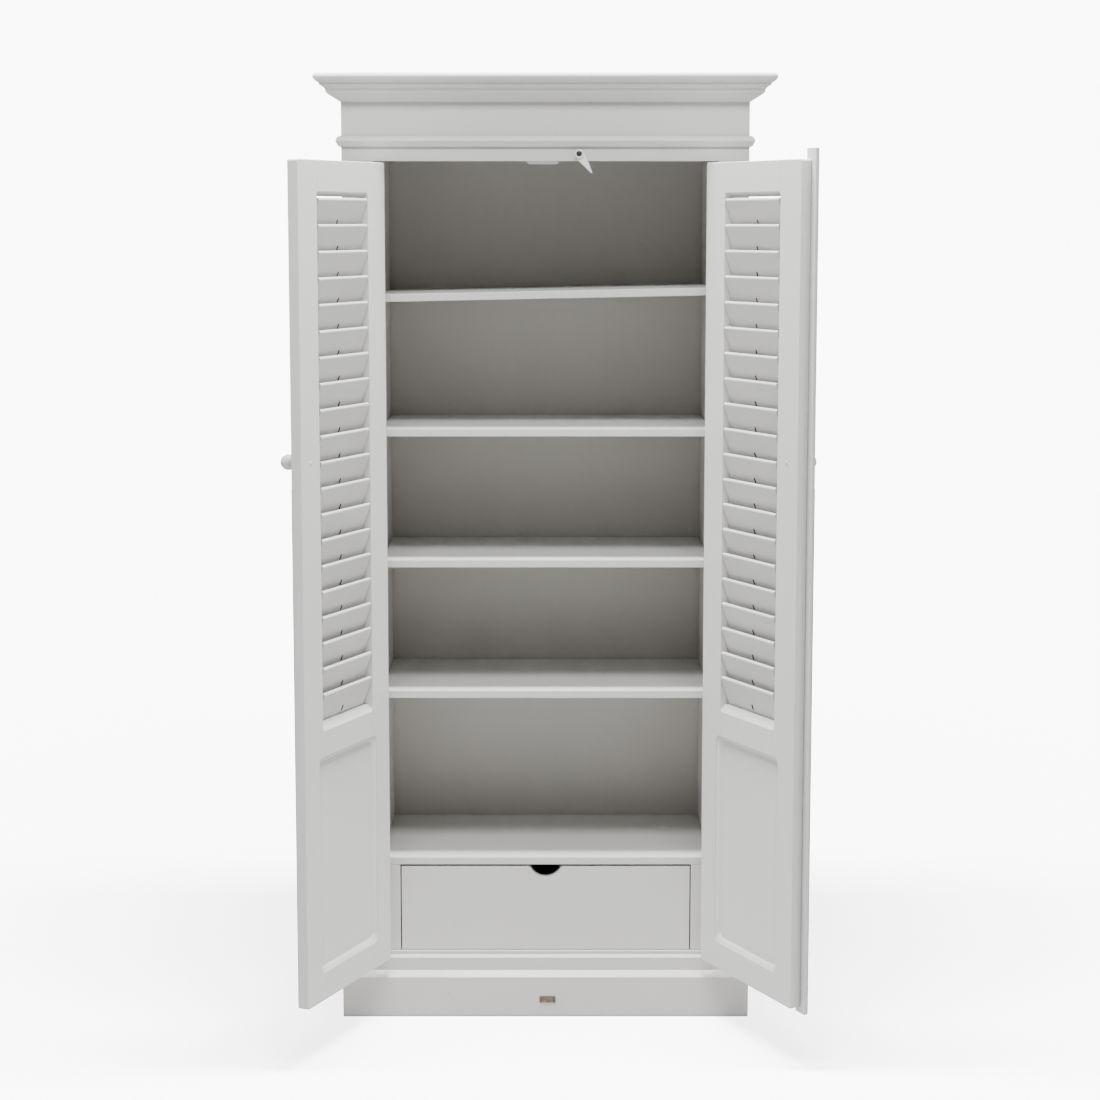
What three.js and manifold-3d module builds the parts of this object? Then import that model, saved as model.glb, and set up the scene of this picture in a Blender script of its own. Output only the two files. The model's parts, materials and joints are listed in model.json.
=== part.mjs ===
// Two-door shuttered armoire in painted wood, with a drawer behind the doors.
// Millimetres, +Z up. The origin is on the floor under the middle of the carcass,
// the front faces -Y, and the doors stand open.
import * as THREE from 'three';
import { mergeVertices } from 'three/addons/utils/BufferGeometryUtils.js';
import Module from 'manifold-3d';

const wasm = await Module();
wasm.setup();

// ---- overall sizes
const overallHeight = 1900;
const carcassWidth = 800;
const carcassDepth = 400;
const jointGap = 0.3; // between pieces that touch

// ---- carcass boards
const sideThickness = 18;
const liningThickness = 12;
const liningInset = 7; // the linings stand in from the stiles and stop the doors
const topThickness = 18;
const floorThickness = 15;
const backThickness = 8;
const backRecess = 22; // the back panel stands in from the rear edges
const backRise = 10; // and clear of the floor
const bearerWidth = 50;
const bearerEndClearance = 40;

// ---- face frame
const frameThickness = 24;
const stileWidth = 61;
const headDepth = 168; // from the top of the piece down to the door opening
const railTop = 120;
const floorTop = 126;

// ---- mouldings round the front and both sides
const corniceHeight = 54;
const corniceProjection = 50;
const beadTopDrop = 119; // top of the bead below the top of the piece
const beadHeight = 22;
const beadProjection = 10.6;
const plinthHeight = 94;
const plinthSlope = 11.5;
const plinthProjection = 13;

// ---- shelves
const shelfThickness = 15;
const shelfSetback = 30;
const shelfSideGap = 1;
const shelfBackGap = 2;
const drawerBayHeight = 181;
const bayRatios = [332, 268, 265, 275, 270]; // clear heights from the fixed shelf upwards
const topShelfTilt = 1.17; // degrees; its right-hand pins sit higher

// ---- doors
const doorThickness = 22;
const hingeGap = 2;
const meetingGap = 3;
const doorBottomGap = 3;
const doorTopGap = 4;
const doorStile = 72;
const topRailHeight = 67;
const lockRailHeight = 82;
const bottomRailHeight = 72;
const lowerPanelHeight = 387;
const panelThickness = 6;
const leftDoorOpen = 114; // degrees from closed
const rightDoorOpen = 117;
const doorEasing = 1.5; // rounding of the outer edges of a door
const doorCorner = 4;

// ---- routed edges of the door frames
const ogeeWidth = 10;
const ogeeDepth = 8;
const panelMargin = 18; // the routed recess runs this far over the frame
const recessRadius = 12;
const sillHeight = 14; // inside
const outerSillHeight = 0.6;
const headBevel = 9;
const sideBevel = 3;
const innerBevelDepth = 12.5;
const outerBevelDepth = 6;
const openingRadius = 7;

// ---- louvres
const slatPitch = 49;
const slatThickness = 8;
const slatInnerProud = 1.5;
const slatOuterProud = 3;
const slatHeight = 58;
const slatTopGap = 2.4;
const slatBottomGap = 0.3;
const slatEndGap = 1.5;
const rodWidth = 12;
const rodThickness = 11;
const rodProud = 8; // past the outer faces of the doors

// ---- hinges
const pinForward = 4; // pin axis in front of the face of the frame
const knuckleRadius = 3.5;
const hingeHeight = 70;
const hingeLeaf = 1;
const hingeLeafDepth = 20;
const hingeEndDistance = 180;

// ---- knobs, astragal, turn button, door stop
const knobRadius = 15;
const knobCentre = 26;
const knobHeight = 1044; // above the bottom of the doors
const astragalWidth = 30;
const astragalLap = 14;
const astragalThickness = 14;
const astragalTop = 20; // past the top of the door
const astragalBottom = 11;
const buttonOffset = 66;
const buttonRise = 14; // pivot above the lower edge of the frieze board
const bossRadius = 8.5;
const bossThickness = 9;
const leafLength = 45;
const leafRoot = 18;
const leafTip = 3;
const leafThickness = 5;
const buttonAngle = 33.8; // degrees right of straight down
const screwHeadRadius = 5.4;
const screwHeadThickness = 2.4;
const screwRadius = 2.2;
const screwClearance = 0.4;
const stopWidth = 62;
const stopOffset = -5;
const stopDrop = 5.5;
const stopHeight = 40;
const stopThickness = 12;
const stopRadius = 5;

// ---- drawer
const drawerWidth = 590;
const drawerSideClearance = 2.5;
const drawerTopClearance = 4;
const drawerBottomClearance = 1;
const drawerDepth = 325;
const drawerFrontThickness = 18;
const drawerSideThickness = 14;
const drawerBottomThickness = 6;
const drawerBottomRise = 12;
const notchHalfWidth = 38;
const notchDepth = 23;
const notchShoulder = 10;

// ---- places worked out from the sizes above
const halfWidth = carcassWidth / 2;
const frontY = -carcassDepth / 2;
const backY = carcassDepth / 2;
const frameBackY = frontY + frameThickness;
const openHalf = halfWidth - stileWidth;
const openTop = overallHeight - headDepth;
const boardTop = overallHeight - topThickness - jointGap;
const liningHalf = openHalf - liningInset;
const backFrontY = backY - backRecess - backThickness;
const insideBackY = backFrontY - jointGap;
const shelfFrontY = frontY + shelfSetback;
const fixedShelfBottom = floorTop + drawerBayHeight;
const fixedShelfTop = fixedShelfBottom + shelfThickness;
const doorBottom = railTop + doorBottomGap;
const doorTop = openTop - doorTopGap;
const pinX = openHalf - hingeGap / 2;
const pinY = frontY - pinForward;
const outerFace = pinForward; // faces of a door, behind the pin
const innerFace = pinForward + doorThickness;
const doorStart = hingeGap / 2; // edges of a door, from the pin
const doorEnd = pinX - meetingGap / 2;
const openStart = doorStart + doorStile;
const openEnd = doorEnd - doorStile;
const panelBottom = doorBottom + bottomRailHeight;
const panelTop = panelBottom + lowerPanelHeight;
const louvreBottom = panelTop + lockRailHeight;
const louvreTop = doorTop - topRailHeight;

const paint = { color: 0xe8e7e3, roughness: 0.45, metalness: 0 };
const drawerPaint = { color: 0xe4e3df, roughness: 0.5, metalness: 0 };
const steel = { color: 0xb9b7b0, roughness: 0.35, metalness: 1 };
const darkSteel = { color: 0x4a4845, roughness: 0.45, metalness: 1 };

const armoire = new THREE.Group();

function addPiece(name, geometry, look, parent = armoire) {
  const mesh = new THREE.Mesh(geometry, new THREE.MeshStandardMaterial(look));
  mesh.name = name;
  parent.add(mesh);
  return mesh;
}

// ---- shape helpers

function block([x0, x1], [y0, y1], [z0, z1]) {
  const geometry = new THREE.BoxGeometry(Math.abs(x1 - x0), Math.abs(y1 - y0), Math.abs(z1 - z0));
  return geometry.translate((x0 + x1) / 2, (y0 + y1) / 2, (z0 + z1) / 2);
}

// A closed mesh from rings of equal length, with a flat cap on the first and the last.
function loft(rings, capTriangles) {
  const count = rings[0].length;
  const positions = rings.flat().flatMap((p) => [p.x, p.y, p.z]);
  const faces = [];
  for (let r = 0; r < rings.length - 1; r++) {
    for (let i = 0; i < count; i++) {
      const a = r * count + i;
      const b = r * count + ((i + 1) % count);
      faces.push([a, b, b + count], [a, b + count, a + count]);
    }
  }
  const last = (rings.length - 1) * count;
  for (const [a, b, c] of capTriangles) {
    faces.push([c, b, a], [a + last, b + last, c + last]);
  }
  const at = (i) => new THREE.Vector3().fromArray(positions, i * 3);
  const volume = faces.reduce((sum, [a, b, c]) => sum + at(a).dot(at(b).cross(at(c))), 0);
  const outward = volume > 0 ? faces : faces.map(([a, b, c]) => [a, c, b]);
  const geometry = new THREE.BufferGeometry();
  geometry.setAttribute('position', new THREE.Float32BufferAttribute(positions, 3));
  geometry.setIndex(outward.flat());
  return geometry;
}

function fanTriangles(count) {
  return Array.from({ length: count - 2 }, (_, i) => [0, i + 1, i + 2]);
}

// A flat plate standing in the XZ plane, from an outline in X and Z.
function plate(shape, yFront, thickness, curveSegments = 8) {
  const geometry = new THREE.ExtrudeGeometry(shape, { depth: thickness, bevelEnabled: false, curveSegments });
  return geometry.rotateX(Math.PI / 2).translate(0, yFront + thickness, 0);
}

function toSolid(geometry) {
  const bare = geometry.clone();
  bare.deleteAttribute('normal');
  bare.deleteAttribute('uv');
  const merged = mergeVertices(bare, 1e-4);
  const vertProperties = new Float32Array(merged.attributes.position.array);
  const triVerts = new Uint32Array(merged.index.array);
  return new wasm.Manifold(new wasm.Mesh({ numProp: 3, vertProperties, triVerts }));
}

function toGeometry(solid) {
  const mesh = solid.getMesh();
  const geometry = new THREE.BufferGeometry();
  geometry.setAttribute('position', new THREE.Float32BufferAttribute(mesh.vertProperties, 3));
  geometry.setIndex(Array.from(mesh.triVerts));
  return geometry;
}

function join(geometries) {
  return toGeometry(geometries.map(toSolid).reduce((whole, piece) => whole.add(piece)));
}

function cut(geometry, cutters) {
  return toGeometry(cutters.reduce((whole, cutter) => whole.subtract(toSolid(cutter)), toSolid(geometry)));
}

function trim(geometry, limit, cutters) {
  return cut(toGeometry(toSolid(geometry).intersect(toSolid(limit))), cutters);
}

// ---- mouldings with mitred corners

// profile: [outward offset from the carcass, height] pairs, anticlockwise.
function mitredRun(profile, start, end) {
  const outline = profile.map(([o, z]) => new THREE.Vector2(o, z));
  const caps = THREE.ShapeUtils.triangulateShape(outline, []);
  return loft([profile.map(([o, z]) => start(o, z)), profile.map(([o, z]) => end(o, z))], caps);
}

function mouldingSet(name, profile) {
  const front = (side) => (o, z) => new THREE.Vector3(side * (halfWidth + o), frontY - o, z);
  addPiece(`${name}_front`, mitredRun(profile, front(-1), front(1)), paint);
  for (const [label, side] of [['left', -1], ['right', 1]]) {
    const corner = (o, z) => new THREE.Vector3(side * (halfWidth + o), frontY - o + 2 * jointGap, z);
    const rear = (o, z) => new THREE.Vector3(side * (halfWidth + o), backY, z);
    addPiece(`${name}_${label}`, mitredRun(profile, corner, rear), paint);
  }
}

// Cornice: a rounded lip, an ovolo, a small step, a slope, a second step and a long bed slope.
const corniceShape = [
  [0.9, 1], [0.965, 0.972], [0.992, 0.925], [1, 0.87], [0.98, 0.8], [0.92, 0.73], [0.84, 0.675], [0.775, 0.655],
  [0.765, 0.585], [0.7, 0.545], [0.62, 0.49], [0.565, 0.45], [0.55, 0.365], [0.515, 0.3], [0.44, 0.25], [0.2, 0.11],
];

function makeMouldings() {
  const corniceBottom = overallHeight - corniceHeight;
  const corniceSlope = corniceShape.map(([o, z]) => [
    o * corniceProjection,
    corniceBottom + z * corniceHeight,
  ]);
  const cornice = [[jointGap, overallHeight], [jointGap, corniceBottom], ...corniceSlope.reverse()];
  mouldingSet('cornice', cornice);

  const beadTop = overallHeight - beadTopDrop;
  const bead = [[jointGap, beadTop], [jointGap, beadTop - beadHeight]];
  bead.push([beadProjection * 0.5, beadTop - beadHeight * 0.95]);
  bead.push([beadProjection, beadTop - beadHeight / 2]);
  const roundSteps = 4;
  for (let i = 1; i < roundSteps; i++) {
    const turn = (i / roundSteps) * (Math.PI / 2);
    bead.push([beadProjection * Math.cos(turn), beadTop - beadHeight / 2 + (beadHeight / 2) * Math.sin(turn)]);
  }
  mouldingSet('bead', bead);

  const slopeFoot = plinthHeight - plinthSlope;
  const plinth = [[jointGap, plinthHeight], [jointGap, 0], [plinthProjection, 0], [plinthProjection, slopeFoot]];
  mouldingSet('plinth', plinth);
}

// ---- carcass

function makeCarcass() {
  const behindFrame = frameBackY + jointGap;
  for (const [label, side] of [['left', -1], ['right', 1]]) {
    const across = (a, b) => [side * a, side * b];
    addPiece(`side_panel_${label}`, block(
      across(halfWidth - sideThickness, halfWidth), [behindFrame, backY], [0, boardTop],
    ), paint);
    addPiece(`lining_${label}`, block(
      across(liningHalf, liningHalf + liningThickness),
      [behindFrame, insideBackY],
      [floorTop + jointGap, boardTop],
    ), paint);
    addPiece(`stile_${label}`, block(
      across(openHalf, halfWidth), [frontY, frameBackY], [0, openTop - jointGap],
    ), paint);
    const cheekInner = drawerWidth / 2 + drawerSideClearance;
    addPiece(`drawer_cheek_${label}`, block(
      across(cheekInner, liningHalf - jointGap),
      [shelfFrontY, shelfFrontY + drawerDepth],
      [floorTop + jointGap, fixedShelfBottom - jointGap],
    ), paint);
  }
  const insideHalf = halfWidth - sideThickness - jointGap;
  addPiece('back_panel', block(
    [-insideHalf, insideHalf], [backFrontY, backFrontY + backThickness], [backRise, boardTop],
  ), paint);
  addPiece('top_board', block(
    [-halfWidth, halfWidth], [frontY, backY], [overallHeight - topThickness, overallHeight],
  ), paint);
  addPiece('bottom_board', block(
    [-insideHalf, insideHalf], [behindFrame, insideBackY], [floorTop - floorThickness, floorTop],
  ), paint);
  const railHalf = openHalf - jointGap;
  addPiece('bottom_rail', block([-railHalf, railHalf], [frontY, frameBackY], [0, railTop]), paint);
  addPiece('frieze_board', block([-halfWidth, halfWidth], [frontY, frameBackY], [openTop, boardTop]), paint);
  addPiece('centre_bearer', block(
    [-bearerWidth / 2, bearerWidth / 2],
    [behindFrame + bearerEndClearance, insideBackY - bearerEndClearance],
    [0, floorTop - floorThickness - jointGap],
  ), paint);
  const shelfHalf = liningHalf - jointGap;
  addPiece('fixed_shelf', block(
    [-shelfHalf, shelfHalf], [shelfFrontY, insideBackY], [fixedShelfBottom, fixedShelfTop],
  ), paint);

  const stop = new THREE.Shape();
  const stopLeft = stopOffset - stopWidth / 2;
  const stopRight = stopOffset + stopWidth / 2;
  const stopLow = openTop - stopDrop;
  stop.moveTo(stopLeft, stopLow + stopHeight);
  stop.lineTo(stopLeft, stopLow + stopRadius);
  stop.absarc(stopLeft + stopRadius, stopLow + stopRadius, stopRadius, Math.PI, 1.5 * Math.PI, false);
  stop.absarc(stopRight - stopRadius, stopLow + stopRadius, stopRadius, 1.5 * Math.PI, 2 * Math.PI, false);
  stop.lineTo(stopRight, stopLow + stopHeight);
  addPiece('door_stop', plate(stop, behindFrame, stopThickness), paint);
}

// ---- loose shelves, numbered from the top

function makeShelves() {
  const clearHeight = openTop - fixedShelfTop;
  const ratioSum = bayRatios.reduce((sum, ratio) => sum + ratio, 0);
  const shelfCount = bayRatios.length - 1;
  const half = liningHalf - shelfSideGap;
  const shelfBackY = backFrontY - shelfBackGap;
  let climbed = 0;
  for (let i = 0; i < shelfCount; i++) {
    climbed += bayRatios[i];
    const number = shelfCount - i;
    const board = block([-half, half], [shelfFrontY, shelfBackY], [0, shelfThickness]);
    const shelf = addPiece(`shelf_${number}`, board, paint);
    shelf.position.z = fixedShelfTop + (climbed / ratioSum) * clearHeight;
    if (number === 1) {
      shelf.rotation.y = THREE.MathUtils.degToRad(-topShelfTilt);
    }
  }
}

// ---- doors

// A rounded rectangle in X and Z at depth y, as a ring of points.
function roundedRing([x0, x1], [z0, z1], radius, y) {
  const perCorner = 4;
  const corners = [
    [x1 - radius, z1 - radius, 0],
    [x0 + radius, z1 - radius, 1],
    [x0 + radius, z0 + radius, 2],
    [x1 - radius, z0 + radius, 3],
  ];
  return corners.flatMap(([cx, cz, quarter]) => Array.from({ length: perCorner + 1 }, (_, i) => {
    const turn = (quarter + i / perCorner) * (Math.PI / 2);
    return new THREE.Vector3(cx + radius * Math.cos(turn), y, cz + radius * Math.sin(turn));
  }));
}

// Cuts the routed recess of a panel into one face of a door; inward is the way into the wood.
function panelRecess(side, face, inward) {
  const steps = [[0, -1], [0, 0.15], [0.3, 0.3], [0.62, 0.5], [0.88, 0.8], [1, 1]];
  const rings = steps.map(([across, deep]) => {
    const inset = across * ogeeWidth;
    const xs = [openStart - panelMargin + inset, openEnd + panelMargin - inset].map((u) => -side * u);
    const zs = [panelBottom - panelMargin + inset, panelTop + panelMargin - inset];
    const y = face + inward * deep * ogeeDepth;
    return roundedRing([Math.min(...xs), Math.max(...xs)], zs, recessRadius, y);
  });
  return loft(rings, fanTriangles(rings[0].length));
}

// Cuts the bevelled edge of the louvre opening: a moulded sill of the given rise, lighter bevels elsewhere.
function louvreEdge(side, face, inward, depth, rise, headRise) {
  const steps = [[0, -1], [0, 0.08], [0.3, 0.3], [0.36, 0.42], [0.9, 0.88], [1, 1]];
  const rings = steps.map(([across, deep]) => {
    const left = 1 - across;
    const xs = [openStart - sideBevel * left, openEnd + sideBevel * left].map((u) => -side * u);
    const zs = [louvreBottom - rise * left, louvreTop + headRise * left];
    const y = face + inward * deep * depth;
    return roundedRing([Math.min(...xs), Math.max(...xs)], zs, openingRadius, y);
  });
  return loft(rings, fanTriangles(rings[0].length));
}

// The outline of a whole door with its outer edges rounded; every board of the frame stays inside it.
function doorBlank(side) {
  const us = [doorStart + doorEasing, doorEnd - doorEasing].map((u) => -side * u);
  const [x0, x1] = [Math.min(...us), Math.max(...us)];
  const [z0, z1] = [doorBottom + doorEasing, doorTop - doorEasing];
  const radius = doorCorner - doorEasing;
  const outline = new THREE.Shape();
  outline.absarc(x1 - radius, z1 - radius, radius, 0, 0.5 * Math.PI, false);
  outline.absarc(x0 + radius, z1 - radius, radius, 0.5 * Math.PI, Math.PI, false);
  outline.absarc(x0 + radius, z0 + radius, radius, Math.PI, 1.5 * Math.PI, false);
  outline.absarc(x1 - radius, z0 + radius, radius, 1.5 * Math.PI, 2 * Math.PI, false);
  const blank = new THREE.ExtrudeGeometry(outline, {
    depth: doorThickness - 2 * doorEasing,
    bevelEnabled: true,
    bevelThickness: doorEasing,
    bevelSize: doorEasing,
    bevelSegments: 3,
    curveSegments: 4,
  });
  return blank.rotateX(Math.PI / 2).translate(0, innerFace - doorEasing, 0);
}

// Every slat leans down towards the outside; the rod on the outside joins them.
function louvrePack(side) {
  const inner = innerFace + slatInnerProud - slatThickness / 2;
  const outer = outerFace - slatOuterProud + slatThickness / 2;
  const lean = Math.atan2(inner - outer, slatHeight - slatThickness);
  const chord = Math.hypot(inner - outer, slatHeight - slatThickness);
  const ends = slatThickness / 2;
  const outline = new THREE.Shape();
  outline.absarc(0, 0, ends, 0, Math.PI, false);
  outline.absarc(0, -chord, ends, Math.PI, 2 * Math.PI, false);
  const length = openEnd - openStart - 2 * slatEndGap;
  const slat = new THREE.ExtrudeGeometry(outline, { depth: length, bevelEnabled: false, curveSegments: 4 });
  slat.rotateZ(-lean).rotateX(Math.PI / 2).rotateZ(Math.PI / 2);
  const fromEdge = side > 0 ? -(openEnd - slatEndGap) : openStart + slatEndGap;
  slat.translate(fromEdge, inner, 0);

  const highest = louvreTop - slatTopGap - ends;
  const lowest = louvreBottom + slatBottomGap + slatHeight - ends;
  const count = Math.round((highest - lowest) / slatPitch) + 1;
  const pitch = (highest - lowest) / (count - 1);
  const slats = Array.from({ length: count }, (_, i) => slat.clone().translate(0, 0, highest - i * pitch));
  const middle = (openStart + openEnd) / 2;
  const rod = block(
    [-side * (middle - rodWidth / 2), -side * (middle + rodWidth / 2)],
    [outerFace - rodProud, outerFace - rodProud + rodThickness],
    [louvreBottom + slatBottomGap, highest - chord / 2],
  );
  return join([rod, ...slats]);
}

function knob() {
  const profile = [[0, 0], [9, 0], [9, 1.5], [6, 4], [5, 8]];
  const ballSteps = 9;
  const neck = Math.asin(5.5 / knobRadius);
  for (let i = 0; i <= ballSteps; i++) {
    const turn = Math.PI - neck - (i / ballSteps) * (Math.PI - neck);
    const radius = i === ballSteps ? 0 : knobRadius * Math.sin(turn);
    profile.push([radius, knobCentre + knobRadius * Math.cos(turn)]);
  }
  const points = profile.map(([r, h]) => new THREE.Vector2(r, h));
  return new THREE.LatheGeometry(points, 20).rotateZ(Math.PI);
}

function makeDoor(label, side, openAngle) {
  const door = new THREE.Group();
  door.position.set(side * pinX, pinY, 0);
  door.rotation.z = side * THREE.MathUtils.degToRad(openAngle);
  armoire.add(door);
  const add = (name, geometry) => addPiece(`${label}_door_${name}`, geometry, paint, door);
  const board = (u0, u1, z0, z1, faces = [outerFace, innerFace]) => block([-side * u0, -side * u1], faces, [z0, z1]);
  const blank = doorBlank(side);
  const cutters = [
    panelRecess(side, innerFace, -1),
    panelRecess(side, outerFace, 1),
    louvreEdge(side, innerFace, -1, innerBevelDepth, sillHeight, headBevel),
    louvreEdge(side, outerFace, 1, outerBevelDepth, outerSillHeight, sideBevel),
  ];
  add('hinge_stile', trim(board(doorStart, openStart, doorBottom, doorTop), blank, cutters));
  add('free_stile', trim(board(openEnd, doorEnd, doorBottom, doorTop), blank, cutters));
  const railStart = openStart + jointGap;
  const railEnd = openEnd - jointGap;
  add('top_rail', trim(board(railStart, railEnd, louvreTop, doorTop), blank, cutters));
  add('lock_rail', trim(board(railStart, railEnd, panelTop, louvreBottom), blank, cutters));
  add('bottom_rail', trim(board(railStart, railEnd, doorBottom, panelBottom), blank, cutters));
  const panelFaces = [outerFace + ogeeDepth, outerFace + ogeeDepth + panelThickness];
  add('panel', board(railStart, railEnd, panelBottom + jointGap, panelTop - jointGap, panelFaces));
  add('louvres', louvrePack(side));
  const stileMiddle = (openEnd + doorEnd) / 2;
  const knobPiece = add('knob', knob());
  knobPiece.position.set(-side * stileMiddle, outerFace - jointGap, doorBottom + knobHeight);
  return add;
}

// Half-round strip on the outer face of the right door, lapping over the left one.
function astragal() {
  const middle = doorEnd + astragalLap - astragalWidth / 2;
  const outline = new THREE.Shape();
  outline.absellipse(0, 0, astragalWidth / 2, astragalThickness, 0, Math.PI, false, 0);
  const depth = doorTop + astragalTop - (doorBottom - astragalBottom);
  const strip = new THREE.ExtrudeGeometry(outline, { depth, bevelEnabled: false, curveSegments: 10 });
  return strip.rotateZ(Math.PI).translate(-middle, outerFace - jointGap, doorBottom - astragalBottom);
}

function makeDoors() {
  makeDoor('left', -1, leftDoorOpen);
  const addRight = makeDoor('right', 1, rightDoorOpen);
  addRight('astragal', astragal());
}

// ---- hinges: the knuckle and the leaf that is let into the face frame

function makeHinges() {
  const first = doorBottom + hingeEndDistance;
  const last = doorTop - hingeEndDistance;
  const heights = [last, (first + last) / 2, first];
  for (const [label, side] of [['left', -1], ['right', 1]]) {
    heights.forEach((middle, i) => {
      const knuckle = new THREE.CylinderGeometry(knuckleRadius, knuckleRadius, hingeHeight, 16);
      knuckle.rotateX(Math.PI / 2).translate(side * pinX, pinY, middle);
      const leaf = block(
        [side * (pinX - hingeLeaf / 2 + 0.1), side * (pinX + hingeLeaf / 2 + 0.1)],
        [pinY + knuckleRadius / 2, frontY + hingeLeafDepth],
        [middle - hingeHeight / 2, middle + hingeHeight / 2],
      );
      addPiece(`hinge_${label}_${i + 1}`, join([knuckle, leaf]), steel);
    });
  }
}

// ---- drawer

function makeDrawer() {
  const half = drawerWidth / 2;
  const low = floorTop + drawerBottomClearance;
  const high = fixedShelfBottom - drawerTopClearance;
  const height = high - low;

  // The finger notch is one hollow arc between two rounded shoulders, tangent to both.
  const centres = (notchHalfWidth ** 2 + notchDepth ** 2) / (2 * notchDepth);
  const notchRadius = centres - notchShoulder;
  const notchCentre = height - notchDepth + notchRadius;
  const meet = Math.atan2(centres - notchDepth, notchHalfWidth);
  const shoulder = height - notchShoulder;
  const outline = new THREE.Shape();
  outline.moveTo(-half, 0);
  outline.lineTo(half, 0);
  outline.lineTo(half, height);
  outline.absarc(notchHalfWidth, shoulder, notchShoulder, Math.PI / 2, Math.PI - meet, false);
  outline.absarc(0, notchCentre, notchRadius, -meet, meet - Math.PI, true);
  outline.absarc(-notchHalfWidth, shoulder, notchShoulder, meet, Math.PI / 2, false);
  outline.lineTo(-half, height);
  const front = plate(outline, shelfFrontY, drawerFrontThickness, 10).translate(0, 0, low);
  addPiece('drawer_front', front, drawerPaint);

  const sideStart = shelfFrontY + drawerFrontThickness + jointGap;
  const sideEnd = shelfFrontY + drawerDepth;
  const innerHalf = half - drawerSideThickness;
  for (const [label, side] of [['left', -1], ['right', 1]]) {
    const xs = [side * innerHalf, side * half];
    addPiece(`drawer_side_${label}`, block(xs, [sideStart, sideEnd], [low, high]), drawerPaint);
  }
  const fitHalf = innerHalf - jointGap;
  const backStart = sideEnd - drawerSideThickness;
  addPiece('drawer_back', block([-fitHalf, fitHalf], [backStart, sideEnd], [low, high]), drawerPaint);
  const bottomLow = low + drawerBottomRise;
  addPiece('drawer_bottom', block(
    [-fitHalf, fitHalf],
    [sideStart, backStart - jointGap],
    [bottomLow, bottomLow + drawerBottomThickness],
  ), drawerPaint);
}

// ---- turn button: a round boss and a pointed leaf on one screw

function makeTurnButton() {
  const pivotZ = openTop + buttonRise;
  const button = new THREE.Group();
  button.position.set(buttonOffset, frontY, pivotZ);
  armoire.add(button);

  const disc = (radius, near, far) => new THREE.CylinderGeometry(radius, radius, far - near, 24)
    .translate(0, (near + far) / 2, 0)
    .rotateZ(Math.PI);
  const boss = disc(bossRadius, jointGap, bossThickness);
  const leafShape = new THREE.Shape();
  leafShape.moveTo(-leafRoot / 2, 0);
  leafShape.lineTo(-leafRoot / 2, -bossRadius);
  leafShape.lineTo(-leafTip / 2, -leafLength + leafTip / 2);
  leafShape.absarc(0, -leafLength + leafTip / 2, leafTip / 2, Math.PI, 2 * Math.PI, false);
  leafShape.lineTo(leafRoot / 2, -bossRadius);
  leafShape.lineTo(leafRoot / 2, 0);
  const leaf = plate(leafShape, -leafThickness - jointGap, leafThickness, 4);
  const bore = disc(screwRadius + screwClearance, -1, bossThickness + 1);
  const counterbore = disc(screwHeadRadius + screwClearance, bossThickness - screwHeadThickness, bossThickness + 1);
  const turned = addPiece('turn_button', cut(join([boss, leaf]), [bore, counterbore]), paint, button);
  turned.rotation.y = -THREE.MathUtils.degToRad(buttonAngle);

  const headSeat = bossThickness - screwHeadThickness + jointGap;
  const head = disc(screwHeadRadius, headSeat, bossThickness);
  const shank = disc(screwRadius, jointGap, headSeat + jointGap);
  addPiece('turn_button_screw', join([head, shank]), darkSteel, button);
}

makeCarcass();
makeMouldings();
makeShelves();
makeDoors();
makeHinges();
makeDrawer();
makeTurnButton();

export default armoire;
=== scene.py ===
import json
import math

import bmesh
import bpy
from mathutils import Matrix, Vector


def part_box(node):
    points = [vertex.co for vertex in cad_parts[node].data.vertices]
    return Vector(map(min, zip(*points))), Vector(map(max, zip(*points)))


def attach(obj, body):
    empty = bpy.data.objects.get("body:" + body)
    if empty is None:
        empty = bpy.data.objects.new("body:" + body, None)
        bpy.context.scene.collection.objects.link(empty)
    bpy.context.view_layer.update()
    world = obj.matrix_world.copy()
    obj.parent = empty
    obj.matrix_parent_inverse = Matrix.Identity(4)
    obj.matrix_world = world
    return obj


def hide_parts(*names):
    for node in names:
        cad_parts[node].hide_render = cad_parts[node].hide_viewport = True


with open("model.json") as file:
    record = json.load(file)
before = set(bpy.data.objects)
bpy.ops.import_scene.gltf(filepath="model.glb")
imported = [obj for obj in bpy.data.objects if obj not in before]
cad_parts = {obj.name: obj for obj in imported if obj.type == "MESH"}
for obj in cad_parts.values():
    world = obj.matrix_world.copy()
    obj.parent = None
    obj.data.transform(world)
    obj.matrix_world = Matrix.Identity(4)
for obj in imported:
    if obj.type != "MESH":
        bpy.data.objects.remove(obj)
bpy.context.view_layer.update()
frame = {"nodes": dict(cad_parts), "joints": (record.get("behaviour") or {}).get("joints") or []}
nodes = frame["nodes"]
joints = {j["name"]: j for j in frame["joints"]}
print("frame loaded:", len(nodes), "solids")


# small helpers for node trees

def addNode(tree, kind, inputs=None, **settings):
    node = tree.nodes.new(kind)
    for key, value in settings.items():
        setattr(node, key, value)
    for key, value in (inputs or {}).items():
        if isinstance(value, bpy.types.NodeSocket):
            tree.links.new(value, node.inputs[key])
        else:
            node.inputs[key].default_value = value
    return node


def mathNode(tree, operation, a, b=0.0, clamp=False):
    node = addNode(tree, "ShaderNodeMath", {0: a, 1: b}, operation=operation)
    node.use_clamp = clamp
    return node.outputs[0]


def ramp(tree, value, low, high, toLow=0.0, toHigh=1.0):
    node = addNode(tree, "ShaderNodeMapRange", {
        "Value": value, "From Min": low, "From Max": high, "To Min": toLow, "To Max": toHigh})
    return node.outputs["Result"]


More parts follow.
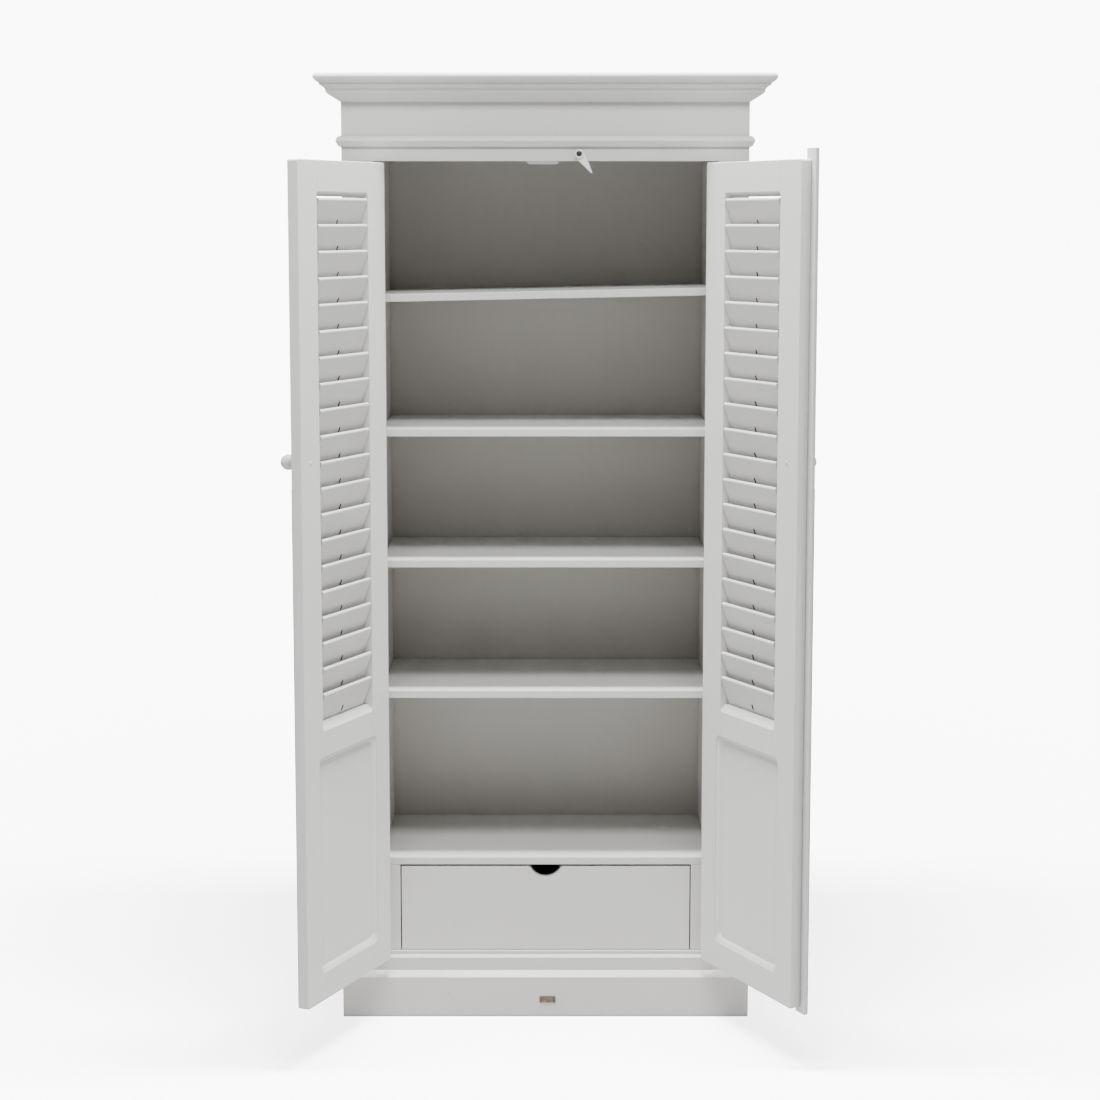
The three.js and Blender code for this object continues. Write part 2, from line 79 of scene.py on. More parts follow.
def mixColour(tree, factor, a, b, blend="MIX"):
    node = addNode(tree, "ShaderNodeMix", data_type="RGBA", blend_type=blend)
    for socket, value in ((node.inputs[0], factor), (node.inputs[6], a), (node.inputs[7], b)):
        if isinstance(value, bpy.types.NodeSocket):
            tree.links.new(value, socket)
        else:
            socket.default_value = value
    return node.outputs[2]


def newGroup(name, inputs, outputs):
    tree = bpy.data.node_groups.new(name, "ShaderNodeTree")
    for label, kind, value in inputs:
        socket = tree.interface.new_socket(label, in_out="INPUT", socket_type=kind)
        if value is not None:
            socket.default_value = value
    for label, kind in outputs:
        tree.interface.new_socket(label, in_out="OUTPUT", socket_type=kind)
    start = tree.nodes.new("NodeGroupInput")
    end = tree.nodes.new("NodeGroupOutput")
    return tree, start.outputs, end.inputs


# what the paint and the metal share

def makeEdgeGroup():
    # how close a point is to an outside edge, and how shut in it is by an inside corner (ambient occlusion,
    # used by the paint and the metal as painted shade), broken up by noise
    tree, given, out = newGroup("edgesAndCorners", [
        ("Vector", "NodeSocketVector", None),
        ("Edge Width", "NodeSocketFloat", 0.0012),
        ("Corner Reach", "NodeSocketFloat", 0.02),
        ("Patch Size", "NodeSocketFloat", 0.03),
    ], [("Edge", "NodeSocketFloat"), ("Corner", "NodeSocketFloat")])
    rounded = addNode(tree, "ShaderNodeBevel", {"Radius": given["Edge Width"]}, samples=6)
    true = addNode(tree, "ShaderNodeNewGeometry")
    same = addNode(tree, "ShaderNodeVectorMath", {0: rounded.outputs[0], 1: true.outputs["Normal"]},
                   operation="DOT_PRODUCT")
    turned = ramp(tree, same.outputs["Value"], 0.995, 0.86)
    # occlusion in inside corners, where shade falls: the Corner output is painted shade
    reach = addNode(tree, "ShaderNodeAmbientOcclusion", {"Distance": given["Corner Reach"]}, samples=8)
    shut = ramp(tree, reach.outputs["AO"], 0.92, 0.30)
    outside = ramp(tree, reach.outputs["AO"], 0.80, 0.97)
    scale = mathNode(tree, "DIVIDE", 1.0, given["Patch Size"])
    patches = addNode(tree, "ShaderNodeTexNoise", {"Vector": given["Vector"], "Scale": scale, "Detail": 4.0})
    broken = ramp(tree, patches.outputs["Fac"], 0.42, 0.66)
    edge = mathNode(tree, "MULTIPLY", mathNode(tree, "MULTIPLY", turned, outside), broken)
    tree.links.new(edge, out["Edge"])
    # noise patches the corner darkening, so it reads partly as dust and partly as painted shade
    dustAndShade = ramp(tree, patches.outputs["Fac"], 0.30, 0.62, 0.55, 1.0)
    tree.links.new(mathNode(tree, "MULTIPLY", shut, dustAndShade), out["Corner"])
    return tree


def makeBrushedPaintGroup():
    # brush drag along the board, grain that shows through, the spray's fine peel, a slow drift in tone, dust
    # specks, worn edges and painted shade in inside corners
    tree, given, out = newGroup("brushedPaint", [
        ("Vector", "NodeSocketVector", None),
        ("Paint", "NodeSocketColor", (0.8, 0.8, 0.8, 1)),
        ("Deep Paint", "NodeSocketColor", (0.7, 0.7, 0.7, 1)),
        ("Worn", "NodeSocketColor", (0.5, 0.4, 0.3, 1)),
        ("Dust And Shade", "NodeSocketColor", (0.3, 0.28, 0.25, 1)),
        ("Drift", "NodeSocketFloat", 0.3),
        ("Wear", "NodeSocketFloat", 0.3),
        ("Corner Shade", "NodeSocketFloat", 0.3),
        ("Sheen", "NodeSocketFloat", 0.42),
    ], [("Colour", "NodeSocketColor"), ("Roughness", "NodeSocketFloat"), ("Height", "NodeSocketFloat")])

    def stretched(along, across, detail, distortion=0.0):
        place = addNode(tree, "ShaderNodeMapping", {
            "Vector": given["Vector"], "Scale": (along, across, across)})
        noise = addNode(tree, "ShaderNodeTexNoise", {
            "Vector": place.outputs[0], "Scale": 1.0, "Detail": detail, "Roughness": 0.6,
            "Distortion": distortion})
        return noise.outputs["Fac"]

    drift = stretched(1.6, 3.5, 3.0)
    grain = stretched(5.0, 150.0, 4.0, 0.4)
    brush = stretched(14.0, 620.0, 3.0)
    peel = stretched(420.0, 420.0, 2.0)
    specks = stretched(95.0, 95.0, 1.0)
    edges = addNode(tree, "ShaderNodeGroup", {}, node_tree=edgeGroup)
    tree.links.new(given["Vector"], edges.inputs["Vector"])
    edge, corner = edges.outputs["Edge"], edges.outputs["Corner"]

    tone = mathNode(tree, "ADD", mathNode(tree, "MULTIPLY", ramp(tree, drift, 0.35, 0.68), given["Drift"]),
                    mathNode(tree, "MULTIPLY", ramp(tree, grain, 0.45, 0.75), 0.16), True)
    colour = mixColour(tree, tone, given["Paint"], given["Deep Paint"])
    streak = mathNode(tree, "MULTIPLY", ramp(tree, brush, 0.5, 0.8), 0.10)
    colour = mixColour(tree, streak, colour, given["Deep Paint"])
    rareSpeck = mathNode(tree, "MULTIPLY", ramp(tree, specks, 0.775, 0.80), 0.25)
    colour = mixColour(tree, rareSpeck, colour, given["Dust And Shade"])
    # inside corners darkened towards the dust colour by occlusion: part dust, part painted shade
    colour = mixColour(tree, mathNode(tree, "MULTIPLY", corner, given["Corner Shade"]), colour, given["Dust And Shade"])
    worn = mathNode(tree, "MULTIPLY", edge, given["Wear"])
    colour = mixColour(tree, worn, colour, given["Worn"])
    tree.links.new(colour, out["Colour"])

    rough = mathNode(tree, "ADD", given["Sheen"], ramp(tree, brush, 0.3, 0.7, -0.05, 0.06))
    rough = mathNode(tree, "ADD", rough, ramp(tree, drift, 0.3, 0.7, -0.04, 0.05))
    rough = mathNode(tree, "ADD", rough, mathNode(tree, "MULTIPLY", worn, 0.3))
    rough = mathNode(tree, "ADD", rough, mathNode(tree, "MULTIPLY", corner, 0.15), True)
    tree.links.new(rough, out["Roughness"])

    high = mathNode(tree, "MULTIPLY", grain, -0.55)
    high = mathNode(tree, "ADD", high, mathNode(tree, "MULTIPLY", brush, 0.45))
    high = mathNode(tree, "ADD", high, mathNode(tree, "MULTIPLY", peel, 0.35))
    high = mathNode(tree, "SUBTRACT", high, mathNode(tree, "MULTIPLY", worn, 0.6))
    tree.links.new(high, out["Height"])
    return tree


edgeGroup = makeEdgeGroup()
brushedPaintGroup = makeBrushedPaintGroup()

paintLook = {
    "paint": (0.63, 0.626, 0.612, 1),
    "deepPaint": (0.575, 0.570, 0.553, 1),
    "worn": (0.42, 0.36, 0.29, 1),
    "dustAndShade": (0.24, 0.228, 0.205, 1),
    "drift": 0.22,
    "wear": 0.32,
    # how strongly inside corners are darkened by occlusion: painted shade with some dust
    "cornerShade": 0.30,
    "sheen": 0.38,
    "bumpDepth": 0.00022,
    "bumpStrength": 0.42,
}


def makePaint(name, turn, changes=None):
    # turn brings the board's own grain onto X
    look = {**paintLook, **(changes or {})}
    material = bpy.data.materials.new(name)
    material.use_nodes = True
    tree = material.node_tree
    shader = tree.nodes["Principled BSDF"]
    place = addNode(tree, "ShaderNodeTexCoord")
    turned = addNode(tree, "ShaderNodeMapping", {"Vector": place.outputs["Object"], "Rotation": turn})
    paint = addNode(tree, "ShaderNodeGroup", {}, node_tree=brushedPaintGroup)
    for label, key in (("Paint", "paint"), ("Deep Paint", "deepPaint"), ("Worn", "worn"), ("Dust And Shade", "dustAndShade"),
                       ("Drift", "drift"), ("Wear", "wear"), ("Corner Shade", "cornerShade"), ("Sheen", "sheen")):
        paint.inputs[label].default_value = look[key]
    tree.links.new(turned.outputs[0], paint.inputs["Vector"])
    bump = addNode(tree, "ShaderNodeBump", {
        "Height": paint.outputs["Height"], "Strength": look["bumpStrength"], "Distance": look["bumpDepth"]})
    tree.links.new(paint.outputs["Colour"], shader.inputs["Base Color"])
    tree.links.new(paint.outputs["Roughness"], shader.inputs["Roughness"])
    tree.links.new(bump.outputs["Normal"], shader.inputs["Normal"])
    shader.inputs["Specular IOR Level"].default_value = 0.42
    return material


def makeMetal(name, colour, tarnish, roughness, scratch):
    material = bpy.data.materials.new(name)
    material.use_nodes = True
    tree = material.node_tree
    shader = tree.nodes["Principled BSDF"]
    place = addNode(tree, "ShaderNodeTexCoord").outputs["Object"]
    brushed = addNode(tree, "ShaderNodeMapping", {"Vector": place, "Scale": (900.0, 900.0, 60.0)})
    lines = addNode(tree, "ShaderNodeTexNoise", {"Vector": brushed.outputs[0], "Scale": 1.0, "Detail": 3.0})
    blots = addNode(tree, "ShaderNodeTexNoise", {"Vector": place, "Scale": 140.0, "Detail": 5.0})
    edges = addNode(tree, "ShaderNodeGroup", {}, node_tree=edgeGroup)
    edges.inputs["Edge Width"].default_value = 0.0006
    edges.inputs["Corner Reach"].default_value = 0.004
    edges.inputs["Patch Size"].default_value = 0.006
    tree.links.new(place, edges.inputs["Vector"])
    base = mixColour(tree, ramp(tree, blots.outputs["Fac"], 0.42, 0.68), colour, tarnish)
    # inside corners darkened towards near black by occlusion: painted shade
    corner = mathNode(tree, "MULTIPLY", edges.outputs["Corner"], 0.6)
    base = mixColour(tree, corner, base, (0.05, 0.045, 0.04, 1))
    edge = mathNode(tree, "MULTIPLY", edges.outputs["Edge"], 0.6)
    base = mixColour(tree, edge, base, (0.8, 0.78, 0.74, 1))
    tree.links.new(base, shader.inputs["Base Color"])
    shader.inputs["Metallic"].default_value = 1.0
    blotted = ramp(tree, blots.outputs["Fac"], 0.3, 0.7, roughness - 0.06, roughness + 0.14)
    scratched = ramp(tree, lines.outputs["Fac"], 0.3, 0.7, -scratch, scratch)
    rough = mathNode(tree, "ADD", blotted, scratched, True)
    tree.links.new(rough, shader.inputs["Roughness"])
    bump = addNode(tree, "ShaderNodeBump", {
        "Height": lines.outputs["Fac"], "Strength": 0.25, "Distance": 0.0001})
    tree.links.new(bump.outputs["Normal"], shader.inputs["Normal"])
    return material


# a door's rails and slats run along the door, so their grain turns with it
leftOpen = math.radians(-joints["left_door_hinge"]["range_deg"][0])
rightOpen = math.radians(-joints["right_door_hinge"]["range_deg"][0])
quarter = math.pi / 2
paintUpright = makePaint("paintUpright", (0, quarter, 0))
paintAcross = makePaint("paintAcross", (0, 0, 0))
paintDepth = makePaint("paintDepth", (0, 0, quarter))
paintLeftRail = makePaint("paintLeftRail", (0, 0, leftOpen))
paintRightRail = makePaint("paintRightRail", (0, 0, -rightOpen))
# slats get stronger occlusion darkening between them: painted shade
paintLeftSlat = makePaint("paintLeftSlat", (0, 0, leftOpen), {"wear": 0.2, "cornerShade": 0.45})
paintRightSlat = makePaint("paintRightSlat", (0, 0, -rightOpen), {"wear": 0.2, "cornerShade": 0.45})
# the inside takes a darker, warmer copy of the same paint: painted shade
paintInsideShaded = makePaint("paintInsideShaded", (0, quarter, 0), {
    "paint": (0.61, 0.592, 0.558, 1), "deepPaint": (0.56, 0.542, 0.508, 1), "sheen": 0.50})
drawerChanges = {"paint": (0.63, 0.625, 0.607, 1), "sheen": 0.44, "drift": 0.4}
paintDrawerAcross = makePaint("paintDrawerAcross", (0, 0, 0), drawerChanges)
paintDrawerDepth = makePaint("paintDrawerDepth", (0, 0, quarter), drawerChanges)
# the plinth takes a warmer copy of the same paint with stronger corner darkening: painted shade
paintPlinthShaded = makePaint("paintPlinthShaded", (0, 0, 0), {
    "paint": (0.64, 0.615, 0.588, 1), "deepPaint": (0.585, 0.56, 0.53, 1), "cornerShade": 0.4})
# a much lighter copy of the same paint for the door stop, the turn button and its ring: painted light on
# parts that sit in shade
paintLitCopy = makePaint("paintLitCopy", (0, 0, 0), {
    "paint": (0.90, 0.895, 0.875, 1), "deepPaint": (0.84, 0.835, 0.81, 1), "sheen": 0.30, "cornerShade": 0.2})
hingeSteel = makeMetal("hingeSteel", (0.62, 0.60, 0.57, 1), (0.40, 0.37, 0.33, 1), 0.34, 0.05)
screwSteel = makeMetal("screwSteel", (0.16, 0.155, 0.15, 1), (0.07, 0.065, 0.06, 1), 0.38, 0.05)
stapleSteel = makeMetal("stapleSteel", (0.055, 0.045, 0.04, 1), (0.025, 0.02, 0.018, 1), 0.55, 0.05)
plateBronze = makeMetal("plateBronze", (0.20, 0.17, 0.135, 1), (0.10, 0.085, 0.07, 1), 0.42, 0.06)
print("materials made")


# finish of the solids that came with the frame

boardEdges = {
    "weld": 0.00002,
    "arris": 0.0009,  # eased edge of a board
    "arrisSteps": 3,
    "smallArris": 0.0004,
    "jointArris": 0.00022,  # where painted boards meet
    "roundAngle": 32,
    "easeAngle": 38,
    "levelWeight": 90,
}


def finishSolid(name, material, arris=None):
    solid = nodes[name]
    solid.data.materials.clear()
    solid.data.materials.append(material)
    for face in solid.data.polygons:
        face.use_smooth = True
    weld = solid.modifiers.new("weld", "WELD")
    weld.merge_threshold = boardEdges["weld"]
    if arris:
        ease = solid.modifiers.new("ease", "BEVEL")
        ease.width = arris
        ease.segments = boardEdges["arrisSteps"]
        ease.limit_method = "ANGLE"
        ease.angle_limit = math.radians(boardEdges["easeAngle"])
        ease.use_clamp_overlap = True
        ease.harden_normals = False
    crease = solid.modifiers.new("crease", "EDGE_SPLIT")
    crease.split_angle = math.radians(boardEdges["roundAngle"])
    level = solid.modifiers.new("level", "WEIGHTED_NORMAL")  # broad faces stay flat beside eased edges
    level.mode = "FACE_AREA"
    level.weight = boardEdges["levelWeight"]


def woodFor(name):
    if name.startswith("left_door_"):
        return {"louvres": paintLeftSlat, "top_rail": paintLeftRail, "lock_rail": paintLeftRail,
                "bottom_rail": paintLeftRail}.get(name[10:], paintUpright)
    if name.startswith("right_door_"):
        return {"louvres": paintRightSlat, "top_rail": paintRightRail, "lock_rail": paintRightRail,
                "bottom_rail": paintRightRail}.get(name[11:], paintUpright)
    if name.startswith("drawer_side"):
        return paintDrawerDepth
    if name.startswith("drawer_") and "cheek" not in name:
        return paintDrawerAcross
    if name in ("cornice_left", "cornice_right", "bead_left", "bead_right",
                "drawer_cheek_left", "drawer_cheek_right"):
        return paintDepth
    # back and linings take the darker inside copy of the paint: painted shade
    if name in ("back_panel", "lining_left", "lining_right"):
        return paintInsideShaded
    # plinth: warmer copy of the paint, painted shade
    if name.startswith("plinth"):
        return paintPlinthShaded
    # door stop and turn button take the lighter copy of the paint: painted light
    if name in ("door_stop", "turn_button"):
        return paintLitCopy
    if name.startswith(("side_panel", "stile_")):
        return paintUpright
    return paintAcross


plainSolids = ("louvres", "knob")
for name in nodes:
    if name.startswith("hinge_") or name == "turn_button_screw":
        finishSolid(name, hingeSteel)
    elif name.endswith(plainSolids):
        finishSolid(name, woodFor(name))
    elif "_door_" in name and not name.endswith("astragal"):
        finishSolid(name, woodFor(name), boardEdges["jointArris"])
    elif name.startswith(("cornice", "bead", "turn_button")) or name.endswith("astragal"):
        finishSolid(name, woodFor(name), boardEdges["smallArris"])
    else:
        finishSolid(name, woodFor(name), boardEdges["arris"])
print("boards finished")


# small fittings, set out with geometry nodes

def makeSetOutTree():
    # stands one copy of a fitting on every point, turned to the way that point faces
    tree = bpy.data.node_groups.new("setOutFittings", "GeometryNodeTree")
    tree.interface.new_socket("Geometry", in_out="INPUT", socket_type="NodeSocketGeometry")
    for label, kind in (("Fitting", "NodeSocketObject"), ("Size", "NodeSocketFloat"),
                        ("Spin", "NodeSocketFloat"), ("Seed", "NodeSocketInt"),
                        ("Material", "NodeSocketMaterial")):
        tree.interface.new_socket(label, in_out="INPUT", socket_type=kind)
    tree.interface.new_socket("Geometry", in_out="OUTPUT", socket_type="NodeSocketGeometry")
    start = tree.nodes.new("NodeGroupInput").outputs
    end = tree.nodes.new("NodeGroupOutput").inputs
    points = addNode(tree, "GeometryNodeMeshToPoints", {"Mesh": start["Geometry"]})
    facing = addNode(tree, "GeometryNodeInputNamedAttribute", {"Name": "facing"}, data_type="FLOAT_VECTOR")
    upward = addNode(tree, "GeometryNodeInputNamedAttribute", {"Name": "upward"}, data_type="FLOAT_VECTOR")
    first = addNode(tree, "FunctionNodeAlignRotationToVector", {"Vector": facing.outputs[0]}, axis="Z")
    second = addNode(tree, "FunctionNodeAlignRotationToVector", {
        "Rotation": first.outputs[0], "Vector": upward.outputs[0]}, axis="Y", pivot_axis="Z")
    spin = addNode(tree, "FunctionNodeRandomValue", {"Seed": start["Seed"]}, data_type="FLOAT")
    back = addNode(tree, "ShaderNodeMath", {0: start["Spin"], 1: -1.0}, operation="MULTIPLY")
    tree.links.new(back.outputs[0], spin.inputs[2])
    tree.links.new(start["Spin"], spin.inputs[3])
    turn = addNode(tree, "ShaderNodeCombineXYZ", {"Z": spin.outputs[1]})
    spun = addNode(tree, "FunctionNodeRotateRotation", {
        "Rotation": second.outputs[0], "Rotate By": turn.outputs[0]}, rotation_space="LOCAL")
    fitting = addNode(tree, "GeometryNodeObjectInfo", {"Object": start["Fitting"]})
    copies = addNode(tree, "GeometryNodeInstanceOnPoints", {
        "Points": points.outputs[0], "Instance": fitting.outputs["Geometry"],
        "Rotation": spun.outputs[0], "Scale": start["Size"]})
    whole = addNode(tree, "GeometryNodeRealizeInstances", {"Geometry": copies.outputs[0]})
    dressed = addNode(tree, "GeometryNodeSetMaterial", {
        "Geometry": whole.outputs[0], "Material": start["Material"]})
    tree.links.new(dressed.outputs[0], end["Geometry"])
    return tree


setOutTree = makeSetOutTree()


def linkNew(name, mesh):
    piece = bpy.data.objects.new(name, mesh)
    bpy.context.scene.collection.objects.link(piece)
    return piece


def setOut(name, fitting, places, body, material, spin=0.0, seed=1):
    # places: (point, facing, upward) for each copy; spin is the most that a copy turns at random
    mesh = bpy.data.meshes.new(name + "Points")
    mesh.from_pydata([p for p, _, _ in places], [], [])
    for label, which in (("facing", 1), ("upward", 2)):
        attribute = mesh.attributes.new(label, "FLOAT_VECTOR", "POINT")
        attribute.data.foreach_set("vector", [c for place in places for c in place[which]])
    holder = linkNew(name + "Holder", mesh)
    modifier = holder.modifiers.new("setOut", "NODES")
    modifier.node_group = setOutTree
    named = {s.name: s.identifier for s in setOutTree.interface.items_tree if s.in_out == "INPUT"}
    for label, value in (("Fitting", fitting), ("Size", 1.0), ("Spin", spin), ("Seed", seed),
                         ("Material", material)):
        modifier[named[label]] = value
    bpy.context.view_layer.update()
    seen = holder.evaluated_get(bpy.context.evaluated_depsgraph_get())
    result = bpy.data.meshes.new_from_object(seen)
    holder.modifiers.clear()
    bpy.data.objects.remove(holder)
    piece = linkNew(name, result)
    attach(piece, body)
    return piece


def finishMesh(build, name, smoothAngle=30):
    bmesh.ops.remove_doubles(build, verts=build.verts, dist=1e-6)
    bmesh.ops.recalc_face_normals(build, faces=build.faces)
    mesh = bpy.data.meshes.new(name)
    build.to_mesh(mesh)
    build.free()
    for face in mesh.polygons:
        face.use_smooth = True
    mesh.set_sharp_from_angle(angle=math.radians(smoothAngle))
    return mesh


def latheMesh(name, profile, steps):
    # profile: (radius, height) pairs from the axis round to the axis
    build = bmesh.new()
    rows = []
    for radius, height in profile:
        if radius < 1e-7:
            rows.append([build.verts.new((0, 0, height))])
        else:
            rows.append([build.verts.new((radius * math.cos(2 * math.pi * i / steps),
                                          radius * math.sin(2 * math.pi * i / steps), height))
                         for i in range(steps)])
    for low, high in zip(rows, rows[1:]):
        for i in range(steps):
            j = (i + 1) % steps
            corners = [low[i % len(low)], low[j % len(low)], high[j % len(high)], high[i % len(high)]]
            distinct = list(dict.fromkeys(corners))
            if len(distinct) > 2:
                build.faces.new(distinct)
    return finishMesh(build, name)


def cutSlot(mesh, name, width, depth, reach, cross=False):
    # a screwdriver slot sunk into the top of a head
    head = linkNew(name + "Head", mesh)
    top = max(v.co.z for v in mesh.vertices)
    cutters = []
    for turn in ((0, quarter) if cross else (0,)):
        build = bmesh.new()
        bmesh.ops.create_cube(build, size=1.0)
        bmesh.ops.scale(build, vec=(reach, width, depth * 2), verts=build.verts)
        bmesh.ops.rotate(build, matrix=Matrix.Rotation(turn, 3, "Z"), verts=build.verts)
        bmesh.ops.translate(build, vec=(0, 0, top), verts=build.verts)
        cutterMesh = bpy.data.meshes.new(name + "Cutter")
        build.to_mesh(cutterMesh)
        build.free()
        cutter = linkNew(name + "Cutter", cutterMesh)
        cut = head.modifiers.new("slot", "BOOLEAN")
        cut.operation = "DIFFERENCE"
        cut.solver = "EXACT"
        cut.object = cutter
        cutters.append(cutter)
    bpy.context.view_layer.update()
    seen = head.evaluated_get(bpy.context.evaluated_depsgraph_get())
    result = bpy.data.meshes.new_from_object(seen)
    for extra in (head, *cutters):
        bpy.data.objects.remove(extra)
    for face in result.polygons:
        face.use_smooth = True
    result.set_sharp_from_angle(angle=math.radians(30))
    return result


def wireMesh(name, path, radius, sides=8):
    # a bent wire with closed ends
    build = bmesh.new()
    points = [Vector(p) for p in path]
    rings = []
    side = None
    for i, point in enumerate(points):
        ahead = (points[min(i + 1, len(points) - 1)] - points[max(i - 1, 0)]).normalized()
        if side is None:
            side = ahead.orthogonal().normalized()
        side = (side - ahead * side.dot(ahead)).normalized()
        other = ahead.cross(side)
        rings.append([build.verts.new(point + radius * (math.cos(t) * side + math.sin(t) * other))
                      for t in (2 * math.pi * k / sides for k in range(sides))])
    for low, high in zip(rings, rings[1:]):
        for k in range(sides):
            build.faces.new((low[k], low[(k + 1) % sides], high[(k + 1) % sides], high[k]))
    build.faces.new(list(reversed(rings[0])))
    build.faces.new(rings[-1])
    return finishMesh(build, name, 50)


def doorSpace(side):
    # a door's own directions as it stands open: out from the pin along the door, into its thickness, up
    name = "right_door_hinge" if side > 0 else "left_door_hinge"
    pin = Vector(joints[name]["pos_m"])
    turn = side * (rightOpen if side > 0 else leftOpen)
    along = Matrix.Rotation(turn, 3, "Z") @ Vector((-side, 0, 0))
    inward = Matrix.Rotation(turn, 3, "Z") @ Vector((0, 1, 0))
    origin = Vector((pin.x, pin.y, 0))
    return lambda u, v, z: origin + along * u + inward * v + Vector((0, 0, z)), along, inward


hingeScrews = {
    "headRadius": 0.0036, "headHeight": 0.00065, "proud": 0.00002,
    "slotWidth": 0.0009, "slotDepth": 0.0004,
    "spread": 0.024,  # between screws, up the leaf
    "middleFurther": 0.004,  # the middle screw is set further in
    "fromPin": 0.0135, "fromFront": 0.0095,
    "spin": 0.9, "doorSeed": 3, "frameSeed": 5,
}
doorLeaf = {"thickness": 0.0005, "inset": 0.00045, "start": 0.0020, "end": 0.0240}
frameLeafGap = 0.0004  # leaf on the frame, behind the pin
sunk = hingeScrews["headHeight"] - hingeScrews["proud"]
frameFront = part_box("stile_left")[0].y
up = Vector((0, 0, 1))

screwHead = cutSlot(latheMesh("hingeScrewMesh", [
    (0, 0), (hingeScrews["headRadius"], 0), (hingeScrews["headRadius"], 0.0002),
    (hingeScrews["headRadius"] * 0.92, 0.0004), (hingeScrews["headRadius"] * 0.6, 0.0006),
    (0, hingeScrews["headHeight"])], 20),
    "hingeScrew", hingeScrews["slotWidth"], hingeScrews["slotDepth"], hingeScrews["headRadius"] * 1.9)
screwHelper = linkNew("hingeScrewHelper", screwHead)

for label, side in (("left", -1), ("right", 1)):
    place, along, _ = doorSpace(side)
    frameX = side * (abs(joints[f"{label}_door_hinge"]["pos_m"][0]) - frameLeafGap + sunk)
    build = bmesh.new()
    onDoor, onFrame = [], []
    for number in (1, 2, 3):
        low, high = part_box(f"hinge_{label}_{number}")
        middle = (low.z + high.z) / 2
        half = (high.z - low.z) / 2
        # the leaf let into the edge of the door
        near, far = doorLeaf["inset"], doorLeaf["inset"] + doorLeaf["thickness"]
        corners = [(near, doorLeaf["start"]), (near, doorLeaf["end"]),
                   (far, doorLeaf["end"]), (far, doorLeaf["start"])]
        rings = [[build.verts.new(place(u, v, z)) for u, v in corners]
                 for z in (middle - half, middle + half)]
        for k in range(4):
            build.faces.new((rings[0][k], rings[0][(k + 1) % 4], rings[1][(k + 1) % 4], rings[1][k]))
        build.faces.new(rings[0])
        build.faces.new(rings[1])
        for step in (-1, 0, 1):
            z = middle + step * hingeScrews["spread"]
            further = hingeScrews["middleFurther"] if step == 0 else 0
            onDoor.append((place(doorLeaf["inset"] + sunk, hingeScrews["fromPin"] + further, z), -along, up))
            onFrame.append((Vector((frameX, frameFront + hingeScrews["fromFront"] + further, z)),
                            Vector((-side, 0, 0)), up))
    leaves = linkNew(f"{label}DoorLeaves", finishMesh(build, f"{label}DoorLeaves"))
    leaves.data.materials.append(hingeSteel)
    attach(leaves, f"{label}_door")
    doorScrews = setOut(f"{label}DoorHingeScrews", screwHelper, onDoor, f"{label}_door", screwSteel,
                        hingeScrews["spin"], hingeScrews["doorSeed"])
    frameScrews = setOut(f"{label}FrameHingeScrews", screwHelper, onFrame, "carcass", screwSteel,
                         hingeScrews["spin"], hingeScrews["frameSeed"])
bpy.data.objects.remove(screwHelper)
print("hinges finished")


# shelf pins, one pair under each end of every loose shelf

shelfPins = {"radius": 0.0025, "length": 0.0095, "collar": 0.0042, "fromFront": 0.045, "fromBack": 0.050}
pinMesh = latheMesh("shelfPinMesh", [
    (0, -0.0005), (shelfPins["collar"], -0.0005), (shelfPins["collar"], 0.0006), (shelfPins["radius"], 0.001),
    (shelfPins["radius"], shelfPins["length"] - 0.0008), (shelfPins["radius"] * 0.7, shelfPins["length"]),
    (0, shelfPins["length"])], 20)
pinHelper = linkNew("shelfPinHelper", pinMesh)
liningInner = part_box("lining_right")[0].x
pinPlaces = []
for number in (1, 2, 3, 4):
    shelf = nodes[f"shelf_{number}"]
    low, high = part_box(f"shelf_{number}")
    for side in (-1, 1):
        ends = [v.co for v in shelf.data.vertices if v.co.x * side > 0.3]
        under = min(v.z for v in ends)
        for y in (low.y + shelfPins["fromFront"], high.y - shelfPins["fromBack"]):
            pinPlaces.append((Vector((side * liningInner, y, under - shelfPins["radius"])),
                              Vector((-side, 0, 0)), up))
pins = setOut("shelfPins", pinHelper, pinPlaces, "carcass", hingeSteel)
bpy.data.objects.remove(pinHelper)


# louvre staples, screws of the knobs

staples = {"wire": 0.0012, "length": 0.010, "sunk": 0.0012, "proud": 0.0006, "bend": 0.0004,
           "spin": 0.12, "seed": 7}
half = staples["length"] / 2
stapleHelper = linkNew("stapleHelper", wireMesh("stapleMesh", [
    (0, -half, -staples["sunk"]), (0, -half, 0), (0, -half + staples["bend"], staples["proud"]),
    (0, half - staples["bend"], staples["proud"]), (0, half, 0), (0, half, -staples["sunk"])],
    staples["wire"]))

slats = {"count": 20, "height": 0.058, "thickness": 0.008, "innerEdge": 0.0275, "outerEdge": 0.001,
         "middle": 0.16875, "stapleUp": 0.0100}
knobScrew = {"radius": 0.0042, "fromPin": 0.2995, "innerFace": 0.026, "seated": 0.0001,
             "slotWidth": 0.0008, "slotDepth": 0.0006, "spin": 0.6, "seed": 11}
knobScrewMesh = cutSlot(latheMesh("knobScrewMesh", [
    (0, 0), (knobScrew["radius"], 0), (knobScrew["radius"], 0.0003), (knobScrew["radius"] * 0.85, 0.0009),
    (knobScrew["radius"] * 0.5, 0.0012), (0, 0.0013)], 20),
    "knobScrew", knobScrew["slotWidth"], knobScrew["slotDepth"], knobScrew["radius"] * 1.3, True)
knobScrewHelper = linkNew("knobScrewHelper", knobScrewMesh)

